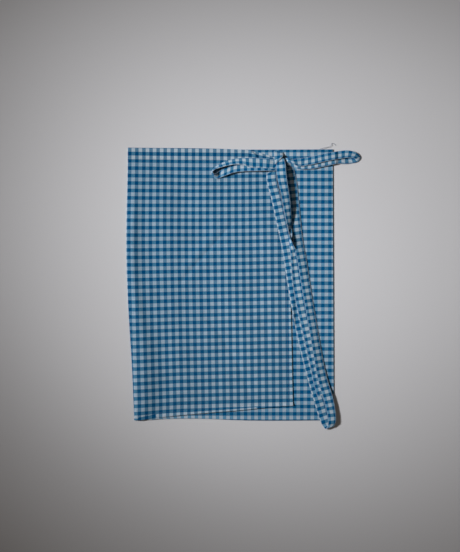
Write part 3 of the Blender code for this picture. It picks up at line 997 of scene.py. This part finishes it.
INNER_TAIL = (
    (0.1120, 0.2765, 0.0056, 10, 0, 0.66),
    (0.1122, 0.2690, 0.0062, 8, 2, 0.86),
    (0.1125, 0.2600, 0.0088, 4, 5, 0.94),
    (0.1130, 0.2480, 0.0112, 2, 6, 0.96),
    (0.1150, 0.2310, 0.0126, 2, 2, 0.94),
    (0.1212, 0.1998, 0.0118, 7, -6, 0.84),
    (0.1278, 0.1576, 0.0084, 10, -14, 0.72),
    (0.1312, 0.1340, 0.0040, 8, -30, 0.62),
    (0.1325, 0.1190, 0.0014, 4, -60, 0.54),
    (0.1320, 0.1030, 0.0014, 4, -92, 0.52),
    (0.1350, 0.0890, 0.0014, 8, -130, 0.50),
    (0.1400, 0.0720, 0.0014, 10, -171, 0.64),
    (0.1440, 0.0470, 0.0014, 8, -180, 0.84),
    (0.1488, 0.0089, 0.0014, 8, -180, 0.96),
    (0.1545, -0.0266, 0.0014, 9, -180, 1.00),
    (0.1618, -0.0622, 0.0014, 11, -180, 1.00),
    (0.1700, -0.0977, 0.0014, 12, -180, 1.00),
    (0.1789, -0.1376, 0.0014, 13, -180, 1.00),
    (0.1889, -0.1820, 0.0014, 13, -180, 1.00),
    (0.1976, -0.2242, 0.0014, 13, -180, 1.00),
    (0.2042, -0.2464, 0.0014, 16, -180, 1.00),
)

# %% Strap from its table
STRAP_THICKNESS = 0.0012
STRAP_EDGE = 0.0004
STRAP_COLUMNS = 17
STRAP_PLACES = np.sin(np.linspace(-0.5, 0.5, STRAP_COLUMNS) * math.pi) / 2
STRAP_STEP = 0.0018
SEAM_PLACE = 0.43
SEAM_DEPTH = 0.35
SEAM_WIDTH = 0.03
# Painted highlight along the strap's edges: it starts at this place across the width and grows over this step
HIGHLIGHT_PLACE = 0.455
HIGHLIGHT_STEP = 0.03
TURN_SHARE = 0.1
PUCKER = 0.00035
PUCKER_PITCH = 0.0175
PUCKER_SLANT = 5
PUCKER_WANDER = 2
WANDER_RATE = 31
CROWN_SHARE = 0.7
CROWN_CALM = 0.6
STRAP_COUNT_ACROSS = 0.0156
STRAP_COUNT_ALONG = 0.0152
straps = {}


def strap_grid(table):
    """Middle points of a strap: centre + across * (cos lean cos turn, cos lean sin turn, sin lean).

    The lower edge rests the row's lift above the cloth. Returns the points and the distance along.
    """
    rows = np.array(table, float)
    path = distance_along(rows[:, :3])
    along = np.linspace(0.0, path[-1], int(path[-1] / STRAP_STEP) + 1)
    x, y, lift, turn, lean, share = smooth_through(path, rows, along).T[:, :, None]
    width = STRAP_WIDTH * share
    turn = np.radians(turn)
    lean = np.radians(lean)
    across = STRAP_PLACES * width
    px = x + across * np.cos(lean) * np.cos(turn)
    py = y + across * np.cos(lean) * np.sin(turn)
    rise = across * np.sin(lean) + np.abs(np.sin(lean)) * width / 2
    pz = cloth_below(px, py) + GAP + WALL / 2 + np.maximum(lift, 0.0) + rise
    crown = 1.0 - (2 * STRAP_PLACES) ** 2
    wander = PUCKER_WANDER * np.sin(along[:, None] * WANDER_RATE)
    phase = along[:, None] * 2 * math.pi / PUCKER_PITCH + PUCKER_SLANT * STRAP_PLACES + wander
    ripple = 0.5 + 0.5 * np.sin(phase)
    pz = pz + PUCKER * (crown * CROWN_SHARE + ripple * (1.0 - CROWN_CALM * crown))
    return np.stack([px, py, pz], -1), along


def strap(name, table, first, last, turn_at=0.5):
    """Closed strap with thin edges and a sewn groove near each of them.

    Thickness = full * sqrt(1 - |2 place|^6) * (1 - depth * exp(-((|place| - seam) / width)^2)). The check
    starts at the first pair of counts and goes over to the last pair where the strap turns.
    """
    points, along = strap_grid(table)
    place = np.broadcast_to(np.abs(STRAP_PLACES), points.shape[:2])
    bow = np.sqrt(np.clip(1.0 - (2 * place) ** 6, 0.0, 1.0))
    groove = 1.0 - SEAM_DEPTH * np.exp(-(((place - SEAM_PLACE) / SEAM_WIDTH) ** 2))
    thickness = np.maximum(STRAP_THICKNESS * bow * groove, STRAP_EDGE)
    turned = ease((along / along[-1] - turn_at) / TURN_SHARE + 0.5)[:, None]
    count_across = first[0] + (last[0] - first[0]) * turned + STRAP_PLACES * STRAP_WIDTH / STRAP_COUNT_ACROSS
    count_along = first[1] + (last[1] - first[1]) * turned + along[:, None] / STRAP_COUNT_ALONG
    counts = np.stack(np.broadcast_arrays(count_across, count_along), -1)
    # Painted highlight along both edges of the strap, where the light catches its folded edges
    painted_edge_highlight = ease((place - HIGHLIGHT_PLACE) / HIGHLIGHT_STEP)
    thing = shell(name, points, thickness, counts, 1.0, plain_cotton, painted_edge_highlight)
    straps[name] = (points, thickness)
    print(name, "is", round(1000 * along[-1]), "mm long")
    return thing


# %% Straps of the bow
left_loop = dress(strap("tie_loop_left_strap", LEFT_LOOP, (0.28, 0.85), (0.0, 0.85)), "tie", "tie_loop_left")
right_loop = dress(
    strap("tie_loop_right_strap", RIGHT_LOOP, (-0.08, 0.94), (0.28, 0.94)), "tie", "tie_loop_right",
)
knot_wrap = dress(strap("tie_knot_strap", KNOT_WRAP, (0.5, 0.53), (0.5, 0.53)), "tie", "tie_knot")
outer_tail = dress(
    strap("tie_tail_outer_strap", OUTER_TAIL, (0.78, 0.73), (0.97, 0.68)), "tie",
    "tie_tail_outer", "tie_tail_doubling", "tie_tail_return",
)
inner_tail = dress(
    strap("tie_tail_inner_strap", INNER_TAIL, (1.0, 0.835), (1.0, 0.835), 0.33), "tie", "tie_tail_inner",
)

# %% [markdown]
# ## Stitches
# Hems, the waistband's lower edge and the straps' open edges are sewn with a straight lockstitch, about
# eight stitches in an inch. A bump could hint at them, but at the edges they catch the light as small
# separate threads, so each one is a short capsule pressed into the cloth.

# %% Rows of stitches
STITCH_PITCH = 0.0032
STITCH_LENGTH = 0.0023
STITCH_RADIUS = 0.0002
CAPSULE_ALONG = np.array([-0.50, -0.40, 0.40, 0.50])
CAPSULE_WIDTH = np.array([0.45, 1.00, 1.00, 0.45])
SIDES = 6


def rings(side, up):
    """Unit directions round each place of a path: side * cos a + up * sin a."""
    angle = np.radians(np.arange(0, 360, 360 // SIDES))[:, None]
    return side[:, None] * np.cos(angle) + up[:, None] * np.sin(angle)


def tube_faces(count):
    """Quads between the given number of rings, and two quads that close each end."""
    start = np.arange(count - 1)[:, None] * SIDES
    turn = np.arange(SIDES)
    after = (turn + 1) % SIDES
    low, high = start + turn, start + after
    sides = np.stack([low, high, high + SIDES, low + SIDES], -1).reshape(-1, 4)
    first_end = np.array([[3, 2, 1, 0], [5, 4, 3, 0]])
    last_end = np.array([[0, 1, 2, 3], [0, 3, 4, 5]]) + (count - 1) * SIDES
    return np.concatenate([sides, first_end, last_end])


def stitch_row(path, outward):
    """Capsules along a path: point = centre + ahead * along + radius * (side * cos a + outward * sin a)."""
    run = distance_along(path)
    where = np.arange(STITCH_PITCH, run[-1] - STITCH_PITCH, STITCH_PITCH)
    nearest = np.clip(np.searchsorted(run, where), 1, len(run) - 1)
    part = ((where - run[nearest - 1]) / (run[nearest] - run[nearest - 1]))[:, None]
    centre = path[nearest - 1] * (1 - part) + path[nearest] * part
    up = outward[nearest]
    ahead = path[nearest] - path[nearest - 1]
    ahead /= np.linalg.norm(ahead, axis=1, keepdims=True)
    along = ahead[:, None, None] * (STITCH_LENGTH * CAPSULE_ALONG)[:, None, None]
    around = rings(np.cross(up, ahead), up)[:, None] * (STITCH_RADIUS * CAPSULE_WIDTH)[:, None, None]
    return (centre[:, None, None] + along + around).reshape(len(centre), -1, 3)


def sew(name, rows):
    """One object with the stitches of all the rows, each a path with its outward directions."""
    capsules = np.concatenate([stitch_row(path, outward) for path, outward in rows])
    faces = tube_faces(len(CAPSULE_ALONG)) + np.arange(len(capsules))[:, None, None] * capsules.shape[1]
    thing = add_mesh(name, capsules.reshape(-1, 3), faces.reshape(-1, 4), thread)
    print(name, "has", len(capsules), "stitches")
    return dress(thing, "thread")


def on_cloth(x, y, height, thickness):
    """Path over a panel and its outward directions, which are straight up."""
    x, y = np.broadcast_arrays(x, y)
    path = np.stack([x, y, height(x, y) + thickness / 2], -1)
    return path, np.broadcast_to([0.0, 0.0, 1.0], path.shape)


# %% Stitches of the panels and the waistband
HEM_SEAM = 0.009
BAND_SEAM = 0.0025
over_x = np.linspace(-0.205, 0.128, 220)
under_x = np.linspace(0.150, 0.222, 60)
hem_x = np.linspace(-0.10, 0.222, 200)
edge_y = np.linspace(-0.262, 0.232, 300)
hem_stitches = sew("hem_stitches", [
    on_cloth(over_x, edge(OVER_HEM, over_x) + HEM_SEAM, over_height, HEMMED),
    on_cloth(edge(FRONT_EDGE, edge_y) - HEM_SEAM, edge_y, over_height, HEMMED),
    on_cloth(hem_x, edge(HEM, hem_x) + HEM_SEAM, under_height, HEMMED),
])
band_stitches = sew("waistband_stitches", [
    on_cloth(over_x, edge(OVER_TOP, over_x) - BAND_DEPTH + BAND_SEAM, over_height, BAND_THICKNESS),
    on_cloth(under_x, edge(TOP_LINE, under_x) - BAND_DEPTH + BAND_SEAM, under_height, BAND_THICKNESS),
])


# %% Stitches of the straps
def strap_rows():
    """Row along one sewn edge of every strap, on both faces."""
    rows = []
    column = int(np.argmin(np.abs(STRAP_PLACES - SEAM_PLACE)))
    for points, thickness in straps.values():
        offset = normals(points)
        half = thickness[:, column:column + 1] / 2
        middle = points[:, column]
        rows.append((middle + offset[:, column] * half, offset[:, column]))
        rows.append((middle - offset[:, column] * half, -offset[:, column]))
    return rows


strap_stitches = sew("tie_stitches", strap_rows())

# %% [markdown]
# ## Loose thread
# One end of sewing thread was left at the waistband's corner. It is a free cord a little over 4 cm long,
# a thin tube along a few places, limp and with a bare end.

# %% Thread end at the corner
THREAD_PLACES = (
    (0.1990, 0.2990, 0.0030),
    (0.2110, 0.3025, 0.0028),
    (0.2240, 0.3064, 0.0020),
    (0.2262, 0.3120, 0.0010),
    (0.2300, 0.3118, 0.0006),
    (0.2353, 0.3075, 0.0004),
)
THREAD_RADIUS = 0.00035
THREAD_RINGS = 60


def thread_end():
    """Tube around a smooth line: point = line + radius * (side * cos a + up * sin a)."""
    run = distance_along(THREAD_PLACES)
    path = smooth_through(run, THREAD_PLACES, np.linspace(0.0, run[-1], THREAD_RINGS))
    ahead = np.gradient(path, axis=0)
    side = np.cross([0.0, 0.0, 1.0], ahead)
    side /= np.linalg.norm(side, axis=1, keepdims=True)
    up = np.cross(ahead, side)
    up /= np.linalg.norm(up, axis=1, keepdims=True)
    points = (path[:, None] + THREAD_RADIUS * rings(side, up)).reshape(-1, 3)
    return add_mesh("loose_thread", points, tube_faces(THREAD_RINGS), thread), path


loose_thread, thread_path = thread_end()
dress(loose_thread, "thread")

# %% [markdown]

# %% [markdown]
# ## Table and light
# The skirt lies on a plain pale surface. The light comes from a small window-like source on the left,
# low enough to model the creases and to throw the bow's shadow to the right. An area light would reach
# evenly to the picture's corners, so two spots share the window's place and their pools fade outwards.
# A dim warm surrounding fills the shadows.

# %% Floor
FLOOR_SIZE = 6.0
FLOOR_HEIGHT = -0.0002
FLOOR_COLOUR = (0.62, 0.62, 0.64, 1.0)
FLOOR_ROUGHNESS = 0.9


def pale_floor():
    """Flat square just below the skirt, in a plain pale finish."""
    half = FLOOR_SIZE / 2
    corners = np.array([[-half, -half, 0], [half, -half, 0], [half, half, 0], [-half, half, 0]], float)
    corners[:, 2] = FLOOR_HEIGHT
    material, shader = new_material("pale floor", FLOOR_ROUGHNESS)
    shader.inputs["Base Color"].default_value = FLOOR_COLOUR
    return add_mesh("floor", corners, np.array([[0, 1, 2, 3]]), material)


pale_floor()


# %% Lights
WINDOW = (-3.03, 0.775, 2.463)
WINDOW_RADIUS = 0.33
WINDOW_COLOUR = (0.985, 0.99, 1.0)
ROOM_COLOUR = (1.0, 0.88, 0.77, 1.0)
ROOM_STRENGTH = 0.10


def window_light(name, aim, cone, power):
    """Spot light at the window, turned to face a point, whose pool of light fades all the way out."""
    data = bpy.data.lights.new(name, "SPOT")
    data.shadow_soft_size = WINDOW_RADIUS
    data.spot_size = math.radians(cone)
    data.spot_blend = 1.0
    data.energy = power
    data.color = WINDOW_COLOUR
    light = bpy.data.objects.new(name, data)
    light.location = WINDOW
    light.rotation_euler = (Vector(aim) - Vector(WINDOW)).to_track_quat("-Z", "Y").to_euler()
    bpy.context.collection.objects.link(light)


window_light("window", aim=(0.23, 0.24, 0.0), cone=18.4, power=850.0)
window_light("window, lower part", aim=(0.02, -0.29, 0.0), cone=13.8, power=540.0)

world = bpy.data.worlds.new("pale room")
world.use_nodes = True
world.node_tree.nodes["Background"].inputs["Color"].default_value = ROOM_COLOUR
world.node_tree.nodes["Background"].inputs["Strength"].default_value = ROOM_STRENGTH
bpy.context.scene.world = world
